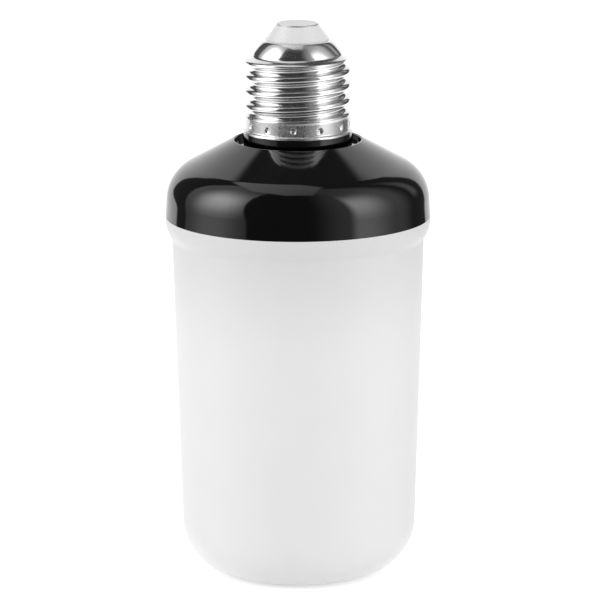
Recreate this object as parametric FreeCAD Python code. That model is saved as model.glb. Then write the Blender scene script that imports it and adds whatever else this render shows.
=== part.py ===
import FreeCAD, Part
import math
import os

# Flame effect lamp with an E27 screw cap, standing on the flat end of its diffuser.
# Millimetres, +Z up towards the cap, origin at the centre of the flat end, front towards -Y.

# Diffuser: a deep milky cup with a drafted wall, a rounded end and a wider lip at the seam
diffuser_length = 89.1
diffuser_wall = 1.6
diffuser_draft = 1.7
diffuser_end_round = 12.8
lip_radius = 32.45
lip_step = 1.55
lip_land = 2.9
lip_slope = 32.5
lip_round = 7.8
lip_fillet = 1.8
spigot_height = 4.0
spigot_clearance = 0.1
bead_height = 0.3
bead_ramp = 0.4

# Housing: a black shoulder with a cone roof, a rim round a groove, and a neck for the cap
housing_wall = 1.8
shoulder_rise = 19.1
shoulder_slope = 28.7
shoulder_lean = 3.65
shoulder_round = 10.0
rim_radius = 15.5
rim_round = 0.35
groove_depth = 1.6
groove_draft = 0.2
collar_radius = 13.25
collar_rise = 1.7
neck_wall = 1.7
neck_clearance = 0.15
neck_top_gap = 0.2
boss_radius = 3.2
boss_count = 3
boss_first = 90.0
boss_inset = 6.4
rib_count = 6
rib_first = 30.0
rib_width = 1.2
rib_depth = 3.0

# Screw cap: nickel plated sheet rolled to the E27 thread, punched on to the neck
cap_sheet = 0.3
thread_major = 26.1
thread_pitch = 3.629
thread_round = 1.025
thread_rise = 16.0
thread_start = 1.12
thread_fade_low = 1.9
thread_fade_high = 1.8
skirt_radius = 12.75
skirt_length = 3.5
skirt_flare = 0.5
flare_rise = 0.9
cap_shoulder_radius = 11.0
cap_shoulder_rise = 3.2
cap_mouth_radius = 7.7
cap_lip_radius = 8.5
cap_shoulder_power = 1.7
shoulder_steps = 6
dimple_count = 12
dimple_round = 0.9
dimple_depth = 0.4
dimple_height = 2.1
dimple_first = -5.0
thread_columns = 24
thread_steps = 8

# Cap tip: a white insulator with a riveted contact
insulator_rise = 3.7
mouth_clearance = 0.03
insulator_top_radius = 5.2
insulator_flange = 1.4
insulator_flange_radius = 8.6
contact_radius = 5.0
contact_sheet = 0.3
rivet_radius = 1.3
rivet_head_radius = 2.1
rivet_head = 0.5

# Light core: a many sided former with the flexible board wrapped round it
core_columns = 11
core_rows = 9
core_inset = 5.8
former_wall = 1.5
core_end_gap = 9.7
window_width = 9.0
window_height = 4.0
window_drop = 8.5
flex_thickness = 0.25
flex_margin = 1.0
flex_slit = 0.6
led_width = 2.8
led_length = 3.5
led_thickness = 0.7
led_first = 6.0
led_last = 5.9
end_board_inset = 0.7
end_board_thickness = 1.0
end_led_count = 6
end_led_share = 0.6

# Core base: the disc that carries the core and closes the driver space
base_gap = 0.6
base_thickness = 2.0
base_set_in = 1.2
base_hole_radius = 5.0
base_collar_height = 5.0
base_collar_wall = 1.5
base_clearance = 0.1
post_width = 2.4
post_offset = 6.6

# Screws that hold the core base to the housing bosses
screw_radius = 1.2
screw_length = 8.0
screw_head_radius = 2.3
screw_head = 1.5
screw_clearance = 0.25

# Driver board and its components
board_edge_gap = 0.28
board_length = 25.0
board_thickness = 1.0
board_offset = 1.5
board_top_gap = 1.6
guide_width = 1.0
guide_depth = 1.3
guide_clearance = 0.1
can_radius = 3.15
can_length = 10.5
can_offset = 4.85
can_gap = 3.2
can_leg = 1.6
can_crimp = 0.3
can_crimp_height = 1.6
inductor_radius = 4.0
inductor_height = 7.0
inductor_flange = 1.2
inductor_spool_radius = 1.8
inductor_winding_radius = 3.4
resistor_radius = 1.45
resistor_length = 7.5
leg_radius = 0.3
leg_bend = 0.7

# Chips on the rear of the board, from its top: length, width, height and spacing of the legs
rectifier_size = (4.7, 4.0, 2.4, 2.54)
driver_chip_size = (4.9, 3.9, 1.5, 1.27)
controller_size = (8.7, 3.9, 1.5, 1.27)
chip_margin = 2.1
chip_gap = 1.2

# Insulated leads
lead_radius = 0.6
lead_bend = 2.4
lead_overlap = 1.8
led_lead_spacing = 2.6

# Heights that follow from the lengths above
seam_z = diffuser_length
rim_z = seam_z + shoulder_rise
cap_z = rim_z + collar_rise
thread_z = cap_z + skirt_length
cap_shoulder_z = thread_z + thread_rise
mouth_z = cap_shoulder_z + cap_shoulder_rise
tip_z = mouth_z + insulator_rise
base_z = seam_z + base_set_in
boss_z = base_z + base_thickness
former_z = diffuser_wall + core_end_gap + led_thickness + end_board_thickness
led_pitch = (base_z - former_z - led_first - led_last) / (core_rows - 1)
neck_top_z = cap_shoulder_z - thread_fade_high - neck_top_gap
board_top_z = neck_top_z - board_top_gap
board_z = board_top_z - board_length

# Radii that follow from the sizes above
draft_slope = math.tan(math.radians(diffuser_draft))
wall_radius = lip_radius - lip_step
foot_radius = wall_radius - draft_slope * (seam_z - lip_land)
base_radius = wall_radius - diffuser_wall - base_gap
boss_circle = base_radius - boss_inset
core_apothem = boss_circle - core_inset
end_board_radius = core_apothem - end_board_inset
end_led_circle = end_board_radius * end_led_share
housing_bore = lip_radius - housing_wall
spigot_radius = housing_bore - spigot_clearance
thread_minor_radius = thread_major / 2 - 2 * thread_round * (
    1 - math.sqrt(1 - (thread_pitch / 4 / thread_round) ** 2)
)
neck_radius = thread_minor_radius - cap_sheet - neck_clearance
skirt_seat_radius = skirt_radius - cap_sheet - neck_clearance
bore_radius = neck_radius - neck_wall
board_rear = board_offset + board_thickness
board_width = 2 * (math.sqrt(bore_radius ** 2 - board_rear ** 2) - board_edge_gap)


def vec(x, y, z):
    return FreeCAD.Vector(x, y, z)


def unit(a, b):
    """Direction in the section plane from point a to point b."""
    length = math.hypot(b[0] - a[0], b[1] - a[1])
    return (b[0] - a[0]) / length, (b[1] - a[1]) / length, length


def turned(corners):
    """Solid of revolution about Z: corners are (radius, height) or (radius, height, rounding)."""
    count = len(corners)
    edges = []
    ends = []
    for i, corner in enumerate(corners):
        before = corners[i - 1]
        after = corners[(i + 1) % count]
        rounding = corner[2] if len(corner) > 2 else 0.0
        ax, az, a_length = unit(corner, before)
        bx, bz, b_length = unit(corner, after)
        if rounding == 0.0:
            ends.append((vec(corner[0], 0, corner[1]), vec(corner[0], 0, corner[1])))
            continue
        half = math.acos(ax * bx + az * bz) / 2
        reach = min(rounding / math.tan(half), 0.98 * a_length, 0.98 * b_length)
        fitted = reach * math.tan(half)
        first = vec(corner[0] + ax * reach, 0, corner[1] + az * reach)
        last = vec(corner[0] + bx * reach, 0, corner[1] + bz * reach)
        mx, mz = ax + bx, az + bz
        scale = (fitted / math.sin(half) - fitted) / math.hypot(mx, mz)
        middle = vec(corner[0] + mx * scale, 0, corner[1] + mz * scale)
        edges.append(Part.Arc(first, middle, last).toShape())
        ends.append((first, last))
    for i in range(count):
        start, stop = ends[i - 1][1], ends[i][0]
        if start.distanceToPoint(stop) > 1e-6:
            edges.append(Part.makeLine(start, stop))
    wire = Part.Wire(Part.__sortEdges__(edges))
    return Part.Face(wire).revolve(vec(0, 0, 0), vec(0, 0, 1), 360)


def inset(before, corner, after, wall):
    """Corner moved inwards by one wall from both of its sides, on a path that runs anticlockwise."""
    ax, az, _ = unit(before, corner)
    bx, bz, _ = unit(corner, after)
    nx, nz = -az - bz, ax + bx
    scale = wall / (1 + ax * bx + az * bz)
    return corner[0] + nx * scale, corner[1] + nz * scale


def around(shape, count, first=0.0):
    """Copies of a shape in even steps round Z."""
    copies = []
    for i in range(count):
        copy = shape.copy()
        copy.rotate(vec(0, 0, 0), vec(0, 0, 1), first + 360.0 * i / count)
        copies.append(copy)
    return copies


def bar(x0, x1, y0, y1, z0, z1):
    """Box between two corners."""
    return Part.makeBox(x1 - x0, y1 - y0, z1 - z0, vec(x0, y0, z0))


def rod(points, radius, bend):
    """Round rod along straight runs that are joined by tangent arcs of the given bend radius."""
    nodes = [vec(*p) for p in points]
    edges = []
    start = nodes[0]
    for i in range(1, len(nodes) - 1):
        a = (nodes[i - 1] - nodes[i]).normalize()
        b = (nodes[i + 1] - nodes[i]).normalize()
        half = a.getAngle(b) / 2
        reach = bend / math.tan(half)
        first = nodes[i] + a * reach
        last = nodes[i] + b * reach
        middle = nodes[i] + (a + b).normalize() * (bend / math.sin(half) - bend)
        edges.append(Part.makeLine(start, first))
        edges.append(Part.Arc(first, middle, last).toShape())
        start = last
    edges.append(Part.makeLine(start, nodes[-1]))
    path = Part.Wire(edges)
    circle = Part.Wire(Part.makeCircle(radius, nodes[0], nodes[1] - nodes[0]))
    return path.makePipeShell([circle], True, False)


def prism(apothem, z0, z1):
    """Regular prism with one flat for each column of light emitters, a flat facing +Y."""
    radius = apothem / math.cos(math.pi / core_columns)
    points = []
    for i in range(core_columns + 1):
        angle = math.pi / 2 + math.pi * (2 * i + 1) / core_columns
        points.append(vec(radius * math.cos(angle), radius * math.sin(angle), z0))
    return Part.Face(Part.makePolygon(points)).extrude(vec(0, 0, z1 - z0))


def diffuser_outline(wall, top):
    """Half section of the cup up to a height: its outer form, or its hollow where a wall is given."""
    upper = seam_z - lip_land
    drop = lip_step / (math.tan(math.radians(lip_slope)) - draft_slope)
    waist = (wall_radius - draft_slope * drop, upper - drop)
    foot = (foot_radius, 0.0)
    if wall > 0:
        foot = inset((0.0, 0.0), foot, waist, wall)
        top_radius = foot[0] + draft_slope * (top - wall)
        return [(0.0, wall), (*foot, diffuser_end_round - wall), (top_radius, top), (0.0, top)]
    return [
        (0.0, 0.0),
        (*foot, diffuser_end_round),
        (*waist, lip_fillet),
        (lip_radius, upper, lip_round),
        (lip_radius, top),
        (0.0, top),
    ]


def spigot_outline(clearance):
    """Half section of the ring that enters the housing, with its snap bead, grown by a clearance."""
    radius = spigot_radius + clearance
    top = seam_z + spigot_height + clearance
    bead_z = seam_z + spigot_height / 2
    return [
        (0.0, seam_z),
        (radius, seam_z),
        (radius, bead_z - 2 * bead_ramp),
        (radius + bead_height, bead_z - bead_ramp),
        (radius + bead_height, bead_z),
        (radius, bead_z + bead_ramp),
        (radius, top),
        (0.0, top),
    ]


def make_diffuser():
    cup = turned(diffuser_outline(0.0, seam_z))
    cup = cup.fuse(turned(spigot_outline(0.0)))
    hollow = turned(diffuser_outline(diffuser_wall, seam_z + spigot_height + 1.0))
    return cup.cut(hollow).removeSplitter()


def housing_corners():
    """Seam edge, shoulder corner and rim of the housing's outer form."""
    lean = math.tan(math.radians(shoulder_lean))
    slope = math.tan(math.radians(shoulder_slope))
    height = (shoulder_rise - slope * (lip_radius - rim_radius)) / (1 - slope * lean)
    seam = (lip_radius, seam_z)
    corner = (lip_radius - lean * height, seam_z + height)
    rim = (rim_radius, rim_z)
    return seam, corner, rim


def dimple_balls(radius):
    """Balls at the punch marks of the cap, all on one circle."""
    centre = skirt_radius + dimple_round - dimple_depth
    ball = Part.makeSphere(radius, vec(0, -centre, cap_z + dimple_height))
    return around(ball, dimple_count, dimple_first)


def make_housing():
    seam, corner, rim = housing_corners()
    groove_z = rim_z - groove_depth
    roof_z = groove_z - housing_wall
    outer = turned([
        (0.0, seam_z),
        seam,
        (*corner, shoulder_round),
        (*rim, rim_round),
        (rim_radius - groove_draft, groove_z),
        (collar_radius, groove_z),
        (collar_radius, cap_z),
        (skirt_seat_radius, cap_z),
        (skirt_seat_radius, thread_z),
        (neck_radius, thread_z + skirt_seat_radius - neck_radius),
        (neck_radius, neck_top_z),
        (0.0, neck_top_z),
    ])
    inner = inset(seam, corner, rim, housing_wall)
    roof_radius = inner[0] - (roof_z - inner[1]) / math.tan(math.radians(shoulder_slope))
    step_z = seam_z + spigot_height + spigot_clearance
    cavity = turned([
        (0.0, seam_z),
        (spigot_radius - bead_height, seam_z),
        (spigot_radius - bead_height, step_z),
        (*inner, shoulder_round - housing_wall),
        (roof_radius, roof_z),
        (0.0, roof_z),
    ])
    cavity = cavity.cut(around(boss_blank(), boss_count, boss_first))
    cavity = cavity.cut(around(rib_blank(roof_z), rib_count, rib_first))
    seat = turned(spigot_outline(spigot_clearance))
    bore = Part.makeCylinder(bore_radius, neck_top_z - roof_z, vec(0, 0, roof_z))
    bore = bore.cut(guide_ribs(roof_z))
    body = outer.cut([cavity, seat, bore])
    body = body.cut(around(screw_hole(), boss_count, boss_first))
    return body.cut(dimple_balls(dimple_round + cap_sheet))


def boss_blank():
    """Screw boss that reaches from the core base up into the cone roof."""
    return Part.makeCylinder(boss_radius, rim_z - boss_z, vec(boss_circle, 0, boss_z))


def rib_blank(roof_z):
    """Radial rib under the cone roof."""
    foot = roof_z - rib_depth
    return bar(bore_radius + rib_width, lip_radius, -rib_width / 2, rib_width / 2, foot, rim_z)


def screw_hole():
    """Pilot hole of one core screw."""
    depth = screw_length - base_thickness
    return Part.makeCylinder(screw_radius, depth, vec(boss_circle, 0, boss_z))


def guide_ribs(roof_z):
    """Two grooved rails in the neck for the edges of the driver board, closed at the top."""
    rear = board_rear + guide_clearance
    rails = []
    for side in (-1, 1):
        edge = side * (board_width / 2 + guide_clearance)
        inner = edge - side * guide_depth
        x0, x1 = min(inner, side * bore_radius), max(inner, side * bore_radius)
        rails.append(bar(x0, x1, board_offset - guide_width, board_offset, roof_z, neck_top_z))
        rails.append(bar(x0, x1, rear, rear + guide_width, roof_z, neck_top_z))
        rails.append(bar(x0, x1, board_offset, rear, board_top_z, neck_top_z))
    return rails


def thread_wave(turns):
    """Radius above the mid line of the rolled thread: equal crest and root arcs that meet tangentially."""
    along = abs((turns + 0.5) % 1.0 - 0.5) * thread_pitch
    middle = (thread_major / 2 - thread_minor_radius) / 2 - thread_round
    if along <= thread_pitch / 4:
        return middle + math.sqrt(thread_round ** 2 - along ** 2)
    return -middle - math.sqrt(thread_round ** 2 - (thread_pitch / 2 - along) ** 2)


def ease(share):
    """Smooth step from 0 to 1."""
    share = min(max(share, 0.0), 1.0)
    return share * share * (3 - 2 * share)


def shell_rows():
    """Levels of the sheet's outer face from the flare to the mouth: radius, height, share of thread."""
    edge_radius = skirt_radius + skirt_flare
    rows = [(edge_radius, cap_z, 0.0), (edge_radius, cap_z + cap_sheet, 0.0)]
    rows.append((skirt_radius, cap_z + flare_rise, 0.0))
    thread_radius = (thread_major / 2 + thread_minor_radius) / 2
    steps = round(thread_rise / thread_pitch * thread_steps)
    for i in range(steps + 1):
        height = thread_z + thread_rise * i / steps
        low = ease((height - thread_z) / thread_fade_low)
        high = ease((cap_shoulder_z - height) / thread_fade_high)
        radius = skirt_radius + (thread_radius - skirt_radius) * low
        radius = cap_shoulder_radius + (radius - cap_shoulder_radius) * high
        rows.append((radius, height, low * high))
    for i in range(1, shoulder_steps + 1):
        turn = math.pi / 2 * i / shoulder_steps
        inward = (cap_shoulder_radius - cap_lip_radius) * (1 - math.cos(turn) ** cap_shoulder_power)
        upward = cap_shoulder_rise * math.sin(turn) ** cap_shoulder_power
        rows.append((cap_shoulder_radius - inward, cap_shoulder_z + upward, 0.0))
    rows.append((cap_mouth_radius, mouth_z, 0.0))
    return rows


def shell_point(row, turn):
    """Point of the sheet's section at one level and one share of a turn round the axis."""
    radius, height, share = row
    wave = thread_wave((height - thread_z - thread_start) / thread_pitch - turn)
    return radius + share * wave, height


def shell_rings(depth):
    """Closed level curves at a depth in the sheet, measured square to its outer face."""
    rows = shell_rows()
    rings = []
    for i, row in enumerate(rows):
        points = []
        for k in range(thread_columns):
            turn = k / thread_columns
            radius, height = shell_point(row, turn)
            below = shell_point(rows[max(i - 1, 0)], turn)
            above = shell_point(rows[min(i + 1, len(rows) - 1)], turn)
            run, rise, _ = unit(below, above)
            radius -= rise * depth
            height += run * depth
            angle = 2 * math.pi * turn
            points.append(vec(radius * math.cos(angle), radius * math.sin(angle), height))
        curve = Part.BSplineCurve()
        curve.interpolate(points, PeriodicFlag=True)
        rings.append(Part.Wire(curve.toShape()))
    return rings


def make_screw_shell():
    outer = shell_rings(0.0)
    inner = shell_rings(cap_sheet)
    walls = Part.makeLoft(outer + inner[::-1], False, True)
    edge = Part.makeLoft([inner[0], outer[0]], False, True)
    shell = Part.makeSolid(Part.makeShell(walls.Faces + edge.Faces))
    core = Part.makeCylinder(skirt_radius - cap_sheet / 2, skirt_length, vec(0, 0, cap_z))
    bumps = [ball.common(core) for ball in dimple_balls(dimple_round + cap_sheet)]
    return shell.fuse(bumps).cut(dimple_balls(dimple_round))


def make_insulator():
    under = mouth_z - cap_sheet
    flange_z = under - insulator_flange
    body = turned([
        (rivet_radius, flange_z),
        (insulator_flange_radius, flange_z),
        (insulator_flange_radius, flange_z + insulator_flange / 2),
        ((cap_lip_radius + cap_mouth_radius) / 2, under),
        (cap_mouth_radius - mouth_clearance, under),
        (cap_mouth_radius - mouth_clearance, mouth_z + cap_sheet),
        (insulator_top_radius, tip_z),
        (rivet_radius, tip_z),
    ])
    return body


def make_contact():
    flange_z = mouth_z - cap_sheet - insulator_flange
    return turned([
        (0.0, flange_z - rivet_head),
        (rivet_head_radius, flange_z - rivet_head),
        (rivet_head_radius, flange_z),
        (rivet_radius, flange_z),
        (rivet_radius, tip_z),
        (contact_radius, tip_z),
        (contact_radius, tip_z + contact_sheet, contact_sheet / 2),
        (0.0, tip_z + contact_sheet),
    ])


def make_core_base():
    collar = core_apothem - former_wall - base_clearance
    base = turned([
        (base_hole_radius, base_z),
        (collar - base_collar_wall, base_z),
        (collar - base_collar_wall, base_z - base_collar_height),
        (collar, base_z - base_collar_height),
        (collar, base_z),
        (base_radius, base_z),
        (base_radius, boss_z),
        (base_hole_radius, boss_z),
    ])
    hole = Part.makeCylinder(screw_radius + screw_clearance, base_thickness, vec(boss_circle, 0, base_z))
    base = base.cut(around(hole, boss_count, boss_first))
    for side in (-1, 1):
        x = side * post_offset
        y = board_offset + board_thickness / 2
        half = post_width / 2
        base = base.fuse(bar(x - half, x + half, y - half, y + half, boss_z, board_z))
    return base.removeSplitter()


def make_core_screws():
    screw = turned([
        (0.0, base_z - screw_head),
        (screw_head_radius, base_z - screw_head, screw_head / 2),
        (screw_head_radius, base_z),
        (screw_radius, base_z),
        (screw_radius, base_z + screw_length),
        (0.0, base_z + screw_length),
    ])
    slot = screw_radius / 4
    for turn in (0, 90):
        cut = bar(-screw_radius, screw_radius, -slot, slot, base_z - screw_head, base_z - screw_head / 2)
        cut.rotate(vec(0, 0, 0), vec(0, 0, 1), turn)
        screw = screw.cut(cut)
    screw.translate(vec(boss_circle, 0, 0))
    return Part.makeCompound(around(screw, boss_count, boss_first))


def make_led_former():
    former = prism(core_apothem, former_z, base_z).cut(
        prism(core_apothem - former_wall, former_z, base_z)
    )
    top = base_z - window_drop
    half = window_width / 2
    return former.cut(bar(-half, half, 0, core_apothem + former_wall, top - window_height, top))


def make_flex_board():
    low, high = former_z + flex_margin, base_z - flex_margin
    board = prism(core_apothem + flex_thickness, low, high).cut(prism(core_apothem, low, high))
    slit = bar(0, 2 * core_apothem, -flex_slit / 2, flex_slit / 2, low, high)
    slit.rotate(vec(0, 0, 0), vec(0, 0, 1), 90.0 + 180.0 * (core_columns - 2) / core_columns)
    return board.cut(slit)


def make_led_row(row):
    """One ring of light emitters, one on each flat of the board."""
    middle = former_z + led_first + led_pitch * row
    face = core_apothem + flex_thickness
    led = bar(
        face, face + led_thickness, -led_width / 2, led_width / 2,
        middle - led_length / 2, middle + led_length / 2,
    )
    return Part.makeCompound(around(led, core_columns, 90.0))


def make_end_board():
    return Part.makeCylinder(end_board_radius, end_board_thickness, vec(0, 0, former_z - end_board_thickness))


def make_end_leds():
    top = former_z - end_board_thickness
    led = bar(
        end_led_circle - led_length / 2, end_led_circle + led_length / 2,
        -led_width / 2, led_width / 2, top - led_thickness, top,
    )
    return Part.makeCompound(around(led, end_led_count))


def make_driver_board():
    half = board_width / 2
    return bar(-half, half, board_offset, board_rear, board_z, board_top_z)


def make_chip(size, above):
    """Moulded chip on the rear face of the board, below the chips named above it, with cranked legs."""
    length, width, height, step = size
    z = board_top_z - chip_margin - sum(chip[0] + chip_gap for chip in above) - length / 2
    count = round(length / step)
    stand = height / 10
    low_face, high_face = board_rear + stand, board_rear + height
    body = bar(-width / 2, width / 2, low_face, high_face, z - length / 2, z + length / 2)
    foot, wide = width / 4, step / 3
    legs = []
    for side in (-1, 1):
        inner, outer = side * width / 2, side * (width / 2 + foot)
        knee = side * (width / 2 + foot / 2)
        for i in range(count):
            middle = z + step * (i - (count - 1) / 2)
            low, high = middle - wide / 2, middle + wide / 2
            shoulder = (min(inner, knee), max(inner, knee))
            legs.append(bar(*shoulder, board_rear, board_rear + height / 2, low, high))
            legs.append(bar(min(knee, outer), max(knee, outer), board_rear, low_face, low, high))
    return body.fuse(legs).removeSplitter()


def make_can(side):
    """Electrolytic capacitor lying on the front of the board, with a crimped bead and two legs."""
    x, y = side * can_offset, board_offset - can_radius
    bottom = board_top_z - can_gap - can_length
    crimp_z = bottom + can_crimp_height
    can = turned([
        (0.0, bottom),
        (can_radius, bottom, can_crimp),
        (can_radius, crimp_z - 2 * can_crimp),
        (can_radius - can_crimp, crimp_z),
        (can_radius, crimp_z + 2 * can_crimp),
        (can_radius, bottom + can_length, can_crimp),
        (0.0, bottom + can_length),
    ])
    can.translate(vec(x, y, 0))
    legs = []
    for offset in (-can_radius / 3, can_radius / 3):
        path = [
            (x + offset, y, bottom),
            (x + offset, y, bottom - can_leg),
            (x + offset, board_offset, bottom - can_leg),
        ]
        legs.append(rod(path, leg_radius, leg_bend))
    return can.fuse(legs)


def inductor_profile(inner):
    """Half section of the drum core, or of the winding between its flanges."""
    low, high = inductor_flange, inductor_height - inductor_flange
    if inner:
        return [
            (inductor_spool_radius, low),
            (inductor_winding_radius, low),
            (inductor_winding_radius, high),
            (inductor_spool_radius, high),
        ]
    return [
        (0.0, 0.0),
        (inductor_radius, 0.0),
        (inductor_radius, low),
        (inductor_spool_radius, low),
        (inductor_spool_radius, high),
        (inductor_radius, high),
        (inductor_radius, inductor_height),
        (0.0, inductor_height),
    ]


def make_inductor(inner):
    """Drum inductor standing on the front of the board, below the cans."""
    drum = turned(inductor_profile(inner))
    drum.rotate(vec(0, 0, 0), vec(1, 0, 0), 90)
    below = board_top_z - can_gap - can_length - 2 * can_leg - inductor_radius
    drum.translate(vec(0, board_offset, below))
    return drum


def make_fusible_resistor():
    """Axial resistor between the cans, its two wires bent to the board."""
    y = board_offset - resistor_radius - guide_clearance
    middle = board_top_z - can_gap - can_length / 2
    low, high = middle - resistor_length / 2, middle + resistor_length / 2
    body = turned([
        (0.0, low),
        (resistor_radius, low, resistor_radius / 3),
        (resistor_radius, high, resistor_radius / 3),
        (0.0, high),
    ])
    body.translate(vec(0, y, 0))
    legs = []
    for end, way in ((low, -1), (high, 1)):
        tip = end + way * can_leg
        path = [(0, y, end), (0, y, tip), (0, board_offset, tip)]
        legs.append(rod(path, leg_radius, leg_bend))
    return body.fuse(legs)


def make_live_lead():
    """From the top of the board to the contact's rivet."""
    y = board_offset - lead_radius
    rise_z = mouth_z - cap_sheet - insulator_flange - rivet_head
    knee_z = board_top_z + lead_radius
    x = -lead_bend
    path = [(x, y, board_top_z - lead_overlap), (x, y, knee_z), (0, 0, knee_z + lead_bend), (0, 0, rise_z)]
    return rod(path, lead_radius, lead_bend / 2)


def make_neutral_lead(shell):
    """From the top of the board over the neck to the inside of the cap's shoulder."""
    y = board_rear + lead_radius
    turn_z = neck_top_z + lead_radius
    path = [(lead_bend, y, board_top_z - lead_overlap), (lead_bend, y, turn_z), (thread_major / 2, y, turn_z)]
    pieces = rod(path, lead_radius, lead_bend / 2).cut(shell).Solids
    return min(pieces, key=lambda piece: piece.CenterOfMass.x)


def make_led_lead(slot):
    """From the foot of the board through the core base to the back of the flexible board."""
    x = slot * led_lead_spacing
    y = board_rear + lead_radius
    turn_z = base_z - window_drop - window_height / 2
    path = [(x, y, board_z + lead_overlap), (x, y, turn_z), (x, core_apothem, turn_z)]
    return rod(path, lead_radius, lead_bend)


def make_parts():
    shell = make_screw_shell()
    parts = {
        "diffuser": make_diffuser(),
        "shoulder_housing": make_housing(),
        "screw_shell": shell,
        "cap_insulator": make_insulator(),
        "centre_contact": make_contact(),
        "core_base": make_core_base(),
        "core_screws": make_core_screws(),
        "led_former": make_led_former(),
        "led_flex_board": make_flex_board(),
        "end_board": make_end_board(),
        "end_leds": make_end_leds(),
        "driver_board": make_driver_board(),
        "bridge_rectifier": make_chip(rectifier_size, []),
        "driver_chip": make_chip(driver_chip_size, [rectifier_size]),
        "controller_chip": make_chip(controller_size, [rectifier_size, driver_chip_size]),
        "input_capacitor": make_can(-1),
        "output_capacitor": make_can(1),
        "inductor_core": make_inductor(False),
        "inductor_winding": make_inductor(True),
        "fusible_resistor": make_fusible_resistor(),
        "live_lead": make_live_lead(),
        "neutral_lead": make_neutral_lead(shell),
        "positive_lead": make_led_lead(-1),
        "negative_lead": make_led_lead(0),
        "data_lead": make_led_lead(1),
    }
    for row in range(core_rows):
        parts["led_row_" + str(row + 1)] = make_led_row(row)
    return parts


os.makedirs("parts", exist_ok=True)
for name, shape in make_parts().items():
    shape.exportStep("parts/" + name + ".step")
    print(name, shape.isValid(), len(shape.Solids), round(shape.Volume, 1))
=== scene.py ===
import math

import bpy
from mathutils import Matrix, Vector


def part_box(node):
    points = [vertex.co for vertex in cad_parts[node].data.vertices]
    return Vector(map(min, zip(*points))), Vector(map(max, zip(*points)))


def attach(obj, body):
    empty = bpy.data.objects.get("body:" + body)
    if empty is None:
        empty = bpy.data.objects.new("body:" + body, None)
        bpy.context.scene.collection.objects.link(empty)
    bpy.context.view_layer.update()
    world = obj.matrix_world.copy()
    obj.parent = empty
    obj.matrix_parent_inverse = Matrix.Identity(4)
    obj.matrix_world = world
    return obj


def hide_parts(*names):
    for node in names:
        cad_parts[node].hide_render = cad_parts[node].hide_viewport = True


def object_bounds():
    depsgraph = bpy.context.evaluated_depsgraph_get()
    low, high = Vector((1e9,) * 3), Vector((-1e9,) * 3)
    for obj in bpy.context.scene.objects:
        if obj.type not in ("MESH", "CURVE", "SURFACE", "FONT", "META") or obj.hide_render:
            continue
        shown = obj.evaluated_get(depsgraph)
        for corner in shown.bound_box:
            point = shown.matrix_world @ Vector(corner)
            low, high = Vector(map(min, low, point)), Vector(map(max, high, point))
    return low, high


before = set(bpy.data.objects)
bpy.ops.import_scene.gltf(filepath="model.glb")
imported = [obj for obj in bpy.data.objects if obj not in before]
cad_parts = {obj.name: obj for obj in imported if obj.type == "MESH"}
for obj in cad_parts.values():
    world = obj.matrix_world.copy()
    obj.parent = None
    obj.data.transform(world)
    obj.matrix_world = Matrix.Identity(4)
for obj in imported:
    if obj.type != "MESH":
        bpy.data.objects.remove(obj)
cad_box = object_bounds()

# Camera, in metres and degrees, from the photograph's framing
IMAGE_WIDTH = 600
CAMERA_DISTANCE = 1.2
CAMERA_ELEVATION = 12.6
CAMERA_TARGET = (0.00042, 0.0, 0.0677)
CAMERA_ROLL = -0.18
CAMERA_SENSOR = 36.0
PIXELS_PER_METRE = 4069.0

# Light: the world as matt surfaces see it, and two lamps that are left out of reflections
WORLD_LEVEL = 0.755
LAMP_DISTANCE = 0.9
LAMP_SIZE = 0.7
LEFT_LAMP = (-75.0, 8.0, 2.75)
RIGHT_LAMP = (65.0, 8.0, 2.35)

# The same studio as gloss sees it, with its angles in degrees. A panel has its level, the azimuths
# where it rises and falls, and the elevations and outer level of its lower and of its upper fade.
# The left panels' edges lean by LEFT_LEAN degrees for each degree of elevation.
LEFT_BOX = (3.3, (-114, -84, -78, -42), (-14, 36, 0.12), (32, 64, 0.0))
LEFT_SCREEN = (0.52, (-117.5, -114, -48, -45), (-8, 34, 0.45), (56, 76, 0.5))
LEFT_LEAN = 0.18
RIGHT_BOX = (2.1, (45, 55, 60, 98), (-14, 32, 0.35), (33, 62, 0.0))
RIGHT_SCREEN = (0.46, (45, 55, 98, 122), (-15, 30, 0.62), (42, 76, 0.5))
NEAR_SCREEN = (0.27, (10, 44, 46, 54), (-14, -8, 0.4), (42, 76, 0.5))
REAR_SCREEN = (0.36, (121, 128, 130, 136), (2, 14, 0.0), (26, 60, 0.0))

# Walls behind the object: the two elevations between which each edge moves from one azimuth to
# another, half the edges' softness, and the levels with elevation
LEFT_WALL_EDGE = (-7, 3, 131.0, 147.0)
RIGHT_WALL_EDGE = (20, 48, 145.3, 149.5)
WALL_SOFTNESS = 1.6
WALL_FADE = (0, 50, 1.1, 0.75)
WALL_TOP = (48, 54, 1.0, 0.0)

# Panel overhead, on a ceiling one unit up: each edge's two weights and place, with a soft margin, the
# elevations where it starts, and how the level changes across and along it
OVERHEAD_EDGES = ((1, 0, -0.46), (-1, 0, -0.18), (0, 1, -0.32), (1, 1, -0.47), (-0.6, -1, -0.305))
OVERHEAD_MARGIN = 0.025
OVERHEAD_START = (30, 40)
OVERHEAD_ACROSS = (-0.5, 0.35, 0.8, 0.46)
OVERHEAD_ALONG = (-0.4, 0.0, 0.8, 1.0)

# What is left unlit, a little paler to the sides, and the table below: grey in front and pale beside
UNLIT_SIDES = (20, 110, 0.045, 0.07)
TABLE_SIDES = (12, 60, 0.42, 0.9)
TABLE_EDGE = (-26, -15, 1.0, 0.0)

# Floor: half its side in metres, and the glow that makes it white to the camera
FLOOR_HALF = 3.0
FLOOR_GLOW = 0.5

# Diffuser's painted shade: how far below and above the seam the base colour darkens, and the colour's
# factor at the seam
SEAM_BELOW = 0.034
SEAM_ABOVE = 0.002
PAINTED_SEAM_SHADE = 0.85

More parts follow.
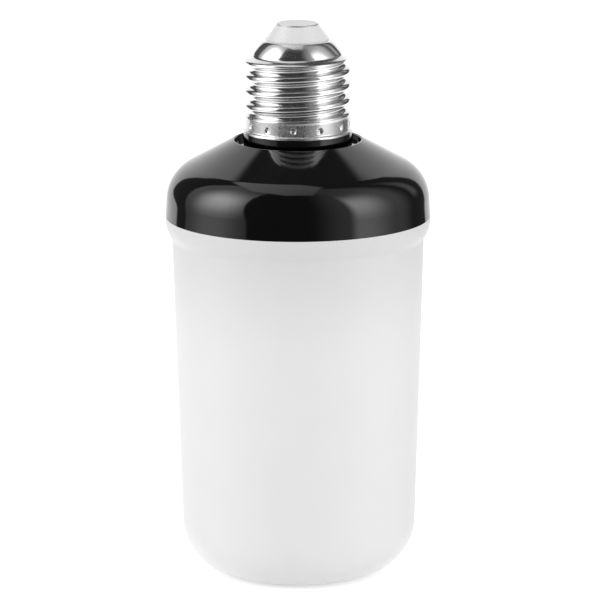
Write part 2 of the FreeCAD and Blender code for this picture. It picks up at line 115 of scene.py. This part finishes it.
# Rolled screw cap, in metres and degrees, the same sheet as its solid
SHEET = 0.0003
THREAD_MAJOR = 0.0261
THREAD_PITCH = 0.003629
THREAD_ROUND = 0.001025
THREAD_START = 0.00112
FADE_LOW = 0.0019
FADE_HIGH = 0.0018
SKIRT_RADIUS = 0.01275
SKIRT_LENGTH = 0.0035
SKIRT_FLARE = 0.0005
FLARE_RISE = 0.0009
CAP_SHOULDER_RADIUS = 0.011
CAP_SHOULDER_RISE = 0.0032
CAP_SHOULDER_POWER = 1.7
CAP_LIP_RADIUS = 0.0085
CAP_MOUTH_RADIUS = 0.0077
DIMPLE_COUNT = 12
DIMPLE_ROUND = 0.0009
DIMPLE_DEPTH = 0.0004
DIMPLE_HEIGHT = 0.0021
DIMPLE_FIRST = -5.0
DIMPLE_EASE = 0.00008
SCALLOP_RISE = 0.00012
SCALLOP_REACH = 0.0012
CAP_COLUMNS = 432
CAP_ROW_STEP = 0.00016
CAP_INNER_SKIP = 4
CAP_SHARP_ANGLE = 50.0


def look_at(camera, target, roll):
    """Turns a camera towards a point, with a small roll about its own line of sight."""
    direction = Vector(target) - camera.location
    turn = direction.to_track_quat("-Z", "Y").to_matrix().to_4x4()
    roll_turn = Matrix.Rotation(math.radians(roll), 4, "Z")
    camera.matrix_world = Matrix.Translation(camera.location) @ turn @ roll_turn


def make_camera():
    """The photograph's view: its distance, height and crop."""
    data = bpy.data.cameras.new("photo_camera")
    data.sensor_width = CAMERA_SENSOR
    data.lens = CAMERA_SENSOR * PIXELS_PER_METRE * CAMERA_DISTANCE / IMAGE_WIDTH
    data.clip_start = 0.05
    camera = bpy.data.objects.new("photo_camera", data)
    bpy.context.scene.collection.objects.link(camera)
    elevation = math.radians(CAMERA_ELEVATION)
    back = CAMERA_DISTANCE * math.cos(elevation)
    up = CAMERA_DISTANCE * math.sin(elevation)
    camera.location = Vector(CAMERA_TARGET) + Vector((0.0, -back, up))
    look_at(camera, CAMERA_TARGET, CAMERA_ROLL)
    bpy.context.scene.camera = camera


# Node helpers


def feed(tree, socket, value):
    """Sets a socket to a number, or links it to another socket."""
    if isinstance(value, (int, float)):
        socket.default_value = value
    else:
        tree.links.new(value, socket)


def combine(tree, operation, first, second=0.0):
    """One step of arithmetic between numbers and sockets."""
    node = tree.nodes.new("ShaderNodeMath")
    node.operation = operation
    feed(tree, node.inputs[0], first)
    feed(tree, node.inputs[1], second)
    return node.outputs["Value"]


def total(tree, values):
    """Sum of several sockets."""
    result = values[0]
    for value in values[1:]:
        result = combine(tree, "ADD", result, value)
    return result


def product(tree, values):
    """Product of several sockets."""
    result = values[0]
    for value in values[1:]:
        result = combine(tree, "MULTIPLY", result, value)
    return result


def climb(tree, value, low, high, bottom=0.0, top=1.0):
    """Smooth step of a value from one level to another."""
    node = tree.nodes.new("ShaderNodeMapRange")
    node.interpolation_type = "SMOOTHSTEP"
    feed(tree, node.inputs["Value"], value)
    node.inputs["From Min"].default_value = low
    node.inputs["From Max"].default_value = high
    node.inputs["To Min"].default_value = bottom
    node.inputs["To Max"].default_value = top
    return node.outputs["Result"]


def band(tree, value, rise_low, rise_high, fall_low, fall_high):
    """1 between two soft edges and 0 beyond them."""
    up = climb(tree, value, rise_low, rise_high)
    down = climb(tree, value, fall_low, fall_high, 1.0, 0.0)
    return combine(tree, "MULTIPLY", up, down)


def new_material(name):
    """A node material with its tree and its shader."""
    material = bpy.data.materials.new(name)
    material.use_nodes = True
    tree = material.node_tree
    shader = next(n for n in tree.nodes if n.type == "BSDF_PRINCIPLED")
    return material, tree, shader


def place(tree, stretch=(1.0, 1.0, 1.0)):
    """The object's own coordinates, with a stretch along each axis."""
    coordinates = tree.nodes.new("ShaderNodeTexCoord")
    mapping = tree.nodes.new("ShaderNodeMapping")
    mapping.inputs["Scale"].default_value = stretch
    tree.links.new(coordinates.outputs["Object"], mapping.inputs["Vector"])
    return mapping.outputs["Vector"]


def noise(tree, scale, detail=4.0, stretch=(1.0, 1.0, 1.0)):
    """Noise at a scale in metres."""
    texture = tree.nodes.new("ShaderNodeTexNoise")
    texture.inputs["Scale"].default_value = 1.0 / scale
    texture.inputs["Detail"].default_value = detail
    tree.links.new(place(tree, stretch), texture.inputs["Vector"])
    return texture.outputs["Fac"]


def spread(tree, value, low, high):
    """Maps a noise value on to a range."""
    return climb(tree, value, 0.3, 0.7, low, high)


def bump(tree, shader, height, strength, distance):
    """Relief of a shader's surface from a value."""
    node = tree.nodes.new("ShaderNodeBump")
    node.inputs["Strength"].default_value = strength
    node.inputs["Distance"].default_value = distance
    tree.links.new(height, node.inputs["Height"])
    tree.links.new(node.outputs["Normal"], shader.inputs["Normal"])


def shades(tree, value, dark, light):
    """Colour between two shades by a value."""
    ramp = tree.nodes.new("ShaderNodeValToRGB")
    ramp.color_ramp.elements[0].color = (*dark, 1.0)
    ramp.color_ramp.elements[1].color = (*light, 1.0)
    ramp.color_ramp.elements[0].position = 0.3
    ramp.color_ramp.elements[1].position = 0.7
    tree.links.new(value, ramp.inputs["Fac"])
    return ramp.outputs["Color"]


def tinted(tree, color, factor):
    """A colour multiplied by a grey factor."""
    node = tree.nodes.new("ShaderNodeVectorMath")
    node.operation = "SCALE"
    tree.links.new(color, node.inputs[0])
    tree.links.new(factor, node.inputs["Scale"])
    return node.outputs["Vector"]


# Materials


def plain(name, dark, light, roughness, grain=0.0006, metallic=0.0, height=0.00001):
    """Moulded, coated or plated surface: slight mottle, uneven roughness and a fine grain."""
    material, tree, shader = new_material(name)
    mottle = noise(tree, grain * 12)
    tree.links.new(shades(tree, mottle, dark, light), shader.inputs["Base Color"])
    fine = noise(tree, grain, 6.0)
    tree.links.new(spread(tree, fine, roughness * 0.85, roughness * 1.15), shader.inputs["Roughness"])
    shader.inputs["Metallic"].default_value = metallic
    bump(tree, shader, fine, 0.3, height)
    return material


def glossy_black():
    """Polished black moulding: clear gloss, a faint waviness and a few hairline rubs."""
    material, tree, shader = new_material("black_moulding")
    mottle = noise(tree, 0.004)
    dark, light = (0.0013, 0.0013, 0.0014), (0.0018, 0.0018, 0.0019)
    tree.links.new(shades(tree, mottle, dark, light), shader.inputs["Base Color"])
    rubs = noise(tree, 0.0012, 6.0, (1.0, 1.0, 0.25))
    tree.links.new(spread(tree, rubs, 0.05, 0.08), shader.inputs["Roughness"])
    shader.inputs["IOR"].default_value = 1.7
    bump(tree, shader, noise(tree, 0.009, 1.0), 0.05, 0.00002)
    return material


def bright_nickel():
    """Rolled and plated sheet: mirror-like, with fine draw lines round the axis and hazy specks."""
    material, tree, shader = new_material("bright_nickel")
    mottle = noise(tree, 0.003)
    dark, light = (0.78, 0.78, 0.785), (0.84, 0.84, 0.845)
    tree.links.new(shades(tree, mottle, dark, light), shader.inputs["Base Color"])
    shader.inputs["Metallic"].default_value = 1.0
    lines = noise(tree, 0.0016, 5.0, (0.2, 0.2, 4.0))
    specks = climb(tree, noise(tree, 0.00012, 2.0), 0.43, 0.57, 0.0, 0.38)
    height = tree.nodes.new("ShaderNodeSeparateXYZ")
    tree.links.new(place(tree), height.inputs[0])
    skirt_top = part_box("screw_shell")[0][2] + SKIRT_LENGTH
    worn = climb(tree, height.outputs["Z"], skirt_top, skirt_top + FADE_LOW, 1.0, 0.3)
    haze = total(tree, [spread(tree, lines, 0.05, 0.10), product(tree, [specks, worn])])
    tree.links.new(haze, shader.inputs["Roughness"])
    bump(tree, shader, noise(tree, 0.002, 3.0), 0.10, 0.00001)
    return material


def milky_plastic():
    """Opal moulding: a satin white skin, with painted shade that greys it towards the seam below the
    black housing.
    """
    material, tree, shader = new_material("milky_plastic")
    mottle = noise(tree, 0.010)
    color = shades(tree, mottle, (0.872, 0.872, 0.874), (0.886, 0.886, 0.888))
    height = tree.nodes.new("ShaderNodeSeparateXYZ")
    tree.links.new(place(tree), height.inputs[0])
    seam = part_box("shoulder_housing")[0][2]
    # Painted shade: the base colour darkens towards the seam, standing in for the housing's shade on the
    # translucent wall
    painted_shade = climb(tree, height.outputs["Z"], seam - SEAM_BELOW, seam + SEAM_ABOVE, 1.0, PAINTED_SEAM_SHADE)
    tree.links.new(tinted(tree, color, painted_shade), shader.inputs["Base Color"])
    fine = noise(tree, 0.0005, 6.0)
    tree.links.new(spread(tree, fine, 0.42, 0.50), shader.inputs["Roughness"])
    shader.inputs["Specular IOR Level"].default_value = 0.35
    bump(tree, shader, fine, 0.15, 0.000004)
    return material


def dress(node, material):
    """Gives a CAD node its finish."""
    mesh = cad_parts[node].data
    mesh.materials.clear()
    mesh.materials.append(material)


def dress_all(nodes, material):
    """Gives several CAD nodes one finish."""
    for node in nodes:
        dress(node, material)


def dress_outside():
    """The pieces that show, apart from the screw cap."""
    dress("diffuser", milky_plastic())
    dress("shoulder_housing", glossy_black())
    dress("cap_insulator", plain("white_insulator", (0.80, 0.80, 0.80), (0.83, 0.83, 0.83), 0.3))
    contact = plain("nickel_contact", (0.74, 0.74, 0.745), (0.80, 0.80, 0.805), 0.42, metallic=1.0)
    dress("centre_contact", contact)


def dress_core():
    """The white LED core, its boards and its screws."""
    white = plain("white_core", (0.84, 0.84, 0.82), (0.90, 0.90, 0.88), 0.45)
    dress_all(("core_base", "led_former"), white)
    zinc = plain("zinc_screws", (0.54, 0.54, 0.56), (0.64, 0.64, 0.66), 0.35, metallic=1.0)
    dress("core_screws", zinc)
    dress("led_flex_board", plain("white_flex_board", (0.86, 0.86, 0.84), (0.91, 0.91, 0.89), 0.5))
    green = plain("green_board", (0.03, 0.22, 0.08), (0.06, 0.34, 0.14), 0.35)
    dress_all(("end_board", "driver_board"), green)
    phosphor = plain("led_phosphor", (0.90, 0.68, 0.24), (0.96, 0.79, 0.35), 0.4, 0.0003)
    dress("end_leds", phosphor)
    dress_all((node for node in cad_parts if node.startswith("led_row_")), phosphor)


def dress_driver():
    """The parts of the driver circuit and its leads."""
    soot, charcoal = (0.022, 0.022, 0.022), (0.036, 0.036, 0.036)
    resin = plain("chip_resin", soot, charcoal, 0.55, 0.0002, height=0.00002)
    dress_all(("bridge_rectifier", "driver_chip", "controller_chip"), resin)
    sleeve = plain("capacitor_sleeve", (0.035, 0.035, 0.065), (0.06, 0.06, 0.10), 0.28)
    dress_all(("input_capacitor", "output_capacitor"), sleeve)
    dark, light = (0.09, 0.09, 0.09), (0.15, 0.15, 0.15)
    dress("inductor_core", plain("dark_ferrite", dark, light, 0.7, 0.0002, height=0.00003))
    copper = plain("enamelled_copper", (0.52, 0.21, 0.07), (0.66, 0.32, 0.12), 0.25, 0.0002)
    dress("inductor_winding", copper)
    coat = plain("resistor_coat", (0.20, 0.30, 0.20), (0.28, 0.38, 0.28), 0.6, 0.0002)
    dress("fusible_resistor", coat)
    red = plain("red_lead", (0.50, 0.02, 0.02), (0.64, 0.04, 0.04), 0.4)
    dress_all(("live_lead", "positive_lead"), red)
    dress_all(("neutral_lead", "negative_lead"), plain("black_lead", soot, charcoal, 0.4))
    dress("data_lead", plain("yellow_lead", (0.62, 0.48, 0.03), (0.74, 0.60, 0.07), 0.4))


# Screw cap


def ease(value):
    """Smooth step from 0 to 1."""
    value = min(max(value, 0.0), 1.0)
    return value * value * (3 - 2 * value)


def thread_wave(turns):
    """Radius above the thread's mid line: equal crest and root arcs that meet tangentially."""
    along = abs((turns + 0.5) % 1.0 - 0.5) * THREAD_PITCH
    rise = THREAD_ROUND - math.sqrt(THREAD_ROUND ** 2 - (THREAD_PITCH / 4) ** 2)
    if along <= THREAD_PITCH / 4:
        return rise - THREAD_ROUND + math.sqrt(THREAD_ROUND ** 2 - along ** 2)
    return THREAD_ROUND - rise - math.sqrt(THREAD_ROUND ** 2 - (THREAD_PITCH / 2 - along) ** 2)


def radius_at(row, turn, thread_low):
    """Outer radius of a row at a share of a turn, with the thread's wave."""
    radius, height, thread_share = row
    return radius + thread_share * thread_wave((height - thread_low) / THREAD_PITCH - turn)


def steps_between(low, high):
    """Even steps of about one row each, without the first end."""
    count = max(1, round((high - low) / CAP_ROW_STEP))
    return [low + (high - low) * i / count for i in range(1, count + 1)]


def cap_rows(low, high):
    """Levels of the sheet's outer face from the flare to the mouth: radius, height, share of thread."""
    thread_low = low + SKIRT_LENGTH
    thread_high = high - CAP_SHOULDER_RISE
    crest_rise = THREAD_ROUND - math.sqrt(THREAD_ROUND ** 2 - (THREAD_PITCH / 4) ** 2)
    thread_radius = THREAD_MAJOR / 2 - crest_rise
    rows = [(SKIRT_RADIUS + SKIRT_FLARE, low, 0.0)]
    for height in steps_between(low + SHEET, low + FLARE_RISE):
        rise = (height - low - SHEET) / (FLARE_RISE - SHEET)
        rows.append((SKIRT_RADIUS + SKIRT_FLARE * (1 - ease(rise)), height, 0.0))
    for height in steps_between(low + FLARE_RISE, thread_low):
        rows.append((SKIRT_RADIUS, height, 0.0))
    for height in steps_between(thread_low, thread_high):
        start = ease((height - thread_low) / FADE_LOW)
        stop = ease((thread_high - height) / FADE_HIGH)
        radius = SKIRT_RADIUS + (thread_radius - SKIRT_RADIUS) * start
        radius = CAP_SHOULDER_RADIUS + (radius - CAP_SHOULDER_RADIUS) * stop
        rows.append((radius, height, start * stop))
    count = round(math.hypot(CAP_SHOULDER_RISE, CAP_SHOULDER_RADIUS - CAP_LIP_RADIUS) / CAP_ROW_STEP)
    for i in range(1, count + 1):
        turn = math.pi / 2 * i / count
        inward = (CAP_SHOULDER_RADIUS - CAP_LIP_RADIUS) * (1 - math.cos(turn) ** CAP_SHOULDER_POWER)
        upward = CAP_SHOULDER_RISE * math.sin(turn) ** CAP_SHOULDER_POWER
        rows.append((CAP_SHOULDER_RADIUS - inward, thread_high + upward, 0.0))
    rows.append((CAP_MOUTH_RADIUS, high, 0.0))
    return rows


def dimple_offset(angle, height, low):
    """How far a punch mark pushes the skirt inwards at one place."""
    spacing = 2 * math.pi / DIMPLE_COUNT
    first = math.radians(DIMPLE_FIRST) - math.pi / 2
    turn = (angle - first + spacing / 2) % spacing - spacing / 2
    away = math.hypot(SKIRT_RADIUS * turn, height - low - DIMPLE_HEIGHT)
    floor = DIMPLE_ROUND - DIMPLE_DEPTH
    if away > 2 * DIMPLE_ROUND:
        return 0.0
    raw = math.sqrt(max(DIMPLE_ROUND ** 2 - away ** 2, 0.0)) - floor
    return 0.5 * (raw + math.hypot(raw, DIMPLE_EASE))


def cap_surface(rows, low, depth):
    """Rings of points at a depth in the sheet, measured square to the section's outer face."""
    rings = []
    thread_low = low + SKIRT_LENGTH + THREAD_START
    for i, row in enumerate(rows):
        below, above = rows[max(i - 1, 0)], rows[min(i + 1, len(rows) - 1)]
        height = row[1]
        lift = SCALLOP_RISE * (1 - ease((height - low) / SCALLOP_REACH))
        ring = []
        for k in range(CAP_COLUMNS):
            turn = k / CAP_COLUMNS
            angle = 2 * math.pi * turn
            radius, z = radius_at(row, turn, thread_low), height
            if depth > 0:
                run = radius_at(above, turn, thread_low) - radius_at(below, turn, thread_low)
                rise = above[1] - below[1]
                length = math.hypot(run, rise)
                radius -= depth * rise / length
                z += depth * run / length
            if height < low + SKIRT_LENGTH:
                radius -= dimple_offset(angle, height, low)
            mark = (angle - math.radians(DIMPLE_FIRST) + math.pi / 2) * DIMPLE_COUNT
            z += lift * (0.5 + 0.5 * math.cos(mark))
            ring.append((radius * math.cos(angle), radius * math.sin(angle), z))
        rings.append(ring)
    return rings


def make_screw_cap():
    """The rolled sheet as one closed skin: outer face, inner face, and the two edges between them."""
    lowest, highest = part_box("screw_shell")
    rows = cap_rows(lowest[2], highest[2])
    outer = cap_surface(rows, lowest[2], 0.0)
    kept = sorted(set(range(0, len(rows), CAP_INNER_SKIP)) | {len(rows) - 1})
    inner_rows = [rows[i] for i in kept]
    inner = cap_surface(inner_rows, lowest[2], SHEET)
    rings = outer + inner[::-1]
    points = [point for ring in rings for point in ring]
    faces = []
    for i in range(len(rings)):
        base, after = i * CAP_COLUMNS, (i + 1) % len(rings) * CAP_COLUMNS
        for k in range(CAP_COLUMNS):
            step = (k + 1) % CAP_COLUMNS
            faces.append((base + k, base + step, after + step, after + k))
    mesh = bpy.data.meshes.new("rolled_screw_cap")
    mesh.from_pydata(points, [], faces)
    mesh.shade_smooth()
    mesh.set_sharp_from_angle(angle=math.radians(CAP_SHARP_ANGLE))
    mesh.materials.append(bright_nickel())
    cap = bpy.data.objects.new("rolled_screw_cap", mesh)
    bpy.context.scene.collection.objects.link(cap)
    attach(cap, "root")
    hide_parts("screw_shell")


# Stage


def make_floor():
    """White floor that keeps the lamp's shadow; reflections see the studio behind it."""
    half = FLOOR_HALF
    mesh = bpy.data.meshes.new("floor")
    corners = [(-half, -half, 0), (half, -half, 0), (half, half, 0), (-half, half, 0)]
    mesh.from_pydata(corners, [], [(0, 1, 2, 3)])
    floor = bpy.data.objects.new("floor", mesh)
    bpy.context.scene.collection.objects.link(floor)
    material, tree, shader = new_material("pale_floor")
    grain = noise(tree, 0.01)
    color = shades(tree, grain, (0.90, 0.90, 0.90), (0.92, 0.92, 0.92))
    tree.links.new(color, shader.inputs["Base Color"])
    shader.inputs["Roughness"].default_value = 0.8
    shader.inputs["Specular IOR Level"].default_value = 0.0
    shader.inputs["Emission Color"].default_value = (1.0, 1.0, 1.0, 1.0)
    path = tree.nodes.new("ShaderNodeLightPath")
    glow = combine(tree, "MULTIPLY", path.outputs["Is Camera Ray"], FLOOR_GLOW)
    tree.links.new(glow, shader.inputs["Emission Strength"])
    clear = tree.nodes.new("ShaderNodeBsdfTransparent")
    choice = tree.nodes.new("ShaderNodeMixShader")
    output = next(n for n in tree.nodes if n.type == "OUTPUT_MATERIAL")
    tree.links.new(path.outputs["Is Glossy Ray"], choice.inputs[0])
    tree.links.new(shader.outputs[0], choice.inputs[1])
    tree.links.new(clear.outputs[0], choice.inputs[2])
    tree.links.new(choice.outputs[0], output.inputs["Surface"])
    mesh.materials.append(material)


def lamp(name, azimuth, elevation, power):
    """Square lamp that faces the object; azimuth 0 is the camera's side, positive to its right."""
    data = bpy.data.lights.new(name, "AREA")
    data.shape = "SQUARE"
    data.size = LAMP_SIZE
    data.energy = power
    light = bpy.data.objects.new(name, data)
    bpy.context.scene.collection.objects.link(light)
    turn, tilt = math.radians(azimuth), math.radians(elevation)
    centre = Vector((0.0, 0.0, cad_box[1][2] / 2))
    way = Vector((math.sin(turn) * math.cos(tilt), -math.cos(turn) * math.cos(tilt), math.sin(tilt)))
    light.location = centre + LAMP_DISTANCE * way
    light.rotation_euler = (-way).to_track_quat("-Z", "Y").to_euler()
    light.visible_camera = False
    light.visible_glossy = False


def ray_way(tree):
    """Where a ray goes: azimuth and elevation in degrees, and where it meets a ceiling one unit up."""
    coordinates = tree.nodes.new("ShaderNodeTexCoord")
    direction = tree.nodes.new("ShaderNodeSeparateXYZ")
    tree.links.new(coordinates.outputs["Generated"], direction.inputs[0])
    x, y, z = direction.outputs
    turn = combine(tree, "ARCTAN2", x, combine(tree, "MULTIPLY", y, -1.0))
    azimuth = combine(tree, "MULTIPLY", turn, 180 / math.pi)
    elevation = combine(tree, "MULTIPLY", combine(tree, "ARCSINE", z), 180 / math.pi)
    return azimuth, elevation, combine(tree, "DIVIDE", x, z), combine(tree, "DIVIDE", y, z)


def line(tree, first, second, first_share, second_share, start=0.0):
    """A weighted sum of two sockets, from a start."""
    first_part = combine(tree, "MULTIPLY", first, first_share)
    return total(tree, [first_part, combine(tree, "MULTIPLY", second, second_share), start])


def panel(tree, azimuth, elevation, level, sides, lower, upper):
    """One soft-edged patch of light."""
    rise = climb(tree, elevation, *lower, 1.0)
    fall = climb(tree, elevation, *upper[:2], 1.0, upper[2])
    return product(tree, [band(tree, azimuth, *sides), rise, fall, level])


def walls(tree, azimuth, elevation):
    """The white walls behind the object, with an unlit gap between each and the panels."""
    left_turn = combine(tree, "MULTIPLY", azimuth, -1.0)
    left = combine(tree, "SUBTRACT", left_turn, climb(tree, elevation, *LEFT_WALL_EDGE))
    right = combine(tree, "SUBTRACT", azimuth, climb(tree, elevation, *RIGHT_WALL_EDGE))
    both = [climb(tree, side, -WALL_SOFTNESS, WALL_SOFTNESS) for side in (left, right)]
    fades = [climb(tree, elevation, *WALL_FADE), climb(tree, elevation, *WALL_TOP)]
    return product(tree, [total(tree, both), *fades])


def overhead(tree, elevation, across, along):
    """The panel above, brighter on its left."""
    parts = [climb(tree, elevation, *OVERHEAD_START)]
    for across_share, along_share, place_of_edge in OVERHEAD_EDGES:
        away = line(tree, across, along, across_share, along_share, -place_of_edge)
        parts.append(climb(tree, away, -OVERHEAD_MARGIN, OVERHEAD_MARGIN))
    levels = [climb(tree, across, *OVERHEAD_ACROSS), climb(tree, along, *OVERHEAD_ALONG)]
    return product(tree, parts + levels)


def studio_reflections(tree):
    """The studio as gloss sees it: walls, softboxes, screens and table, and the panel above."""
    azimuth, elevation, across, along = ray_way(tree)
    leaned = line(tree, azimuth, elevation, 1.0, LEFT_LEAN)
    near_edge = climb(tree, leaned, *LEFT_SCREEN[1][2:], 1.0, 0.0)
    left_box = product(tree, [panel(tree, azimuth, elevation, *LEFT_BOX), near_edge])
    panels = (RIGHT_BOX, RIGHT_SCREEN, NEAR_SCREEN, REAR_SCREEN)
    right = [panel(tree, azimuth, elevation, *each) for each in panels]
    sides = total(tree, [left_box, panel(tree, leaned, elevation, *LEFT_SCREEN), *right])
    lit = combine(tree, "MAXIMUM", sides, overhead(tree, elevation, across, along))
    aside = combine(tree, "ABSOLUTE", azimuth)
    unlit = climb(tree, aside, *UNLIT_SIDES)
    table = product(tree, [climb(tree, aside, *TABLE_SIDES), climb(tree, elevation, *TABLE_EDGE)])
    return total(tree, [walls(tree, azimuth, elevation), lit, unlit, table])


def make_world():
    """White to the camera, an even soft level to matt surfaces, and the studio to gloss and glass."""
    world = bpy.data.worlds.new("studio")
    bpy.context.scene.world = world
    world.use_nodes = True
    world.cycles.sampling_method = "NONE"
    tree = world.node_tree
    background = next(n for n in tree.nodes if n.type == "BACKGROUND")
    path = tree.nodes.new("ShaderNodeLightPath")
    shiny = combine(tree, "MAXIMUM", path.outputs["Is Glossy Ray"], path.outputs["Is Transmission Ray"])
    camera = path.outputs["Is Camera Ray"]
    matt = combine(tree, "SUBTRACT", 1.0, combine(tree, "MAXIMUM", shiny, camera))
    level = total(tree, [
        camera,
        combine(tree, "MULTIPLY", shiny, studio_reflections(tree)),
        combine(tree, "MULTIPLY", matt, WORLD_LEVEL),
    ])
    background.inputs["Color"].default_value = (1.0, 1.0, 1.0, 1.0)
    tree.links.new(level, background.inputs["Strength"])


make_camera()
make_world()
make_floor()
lamp("left_lamp", *LEFT_LAMP)
lamp("right_lamp", *RIGHT_LAMP)

dress_outside()
dress_core()
dress_driver()
make_screw_cap()

bpy.context.scene.view_settings.view_transform = "Standard"
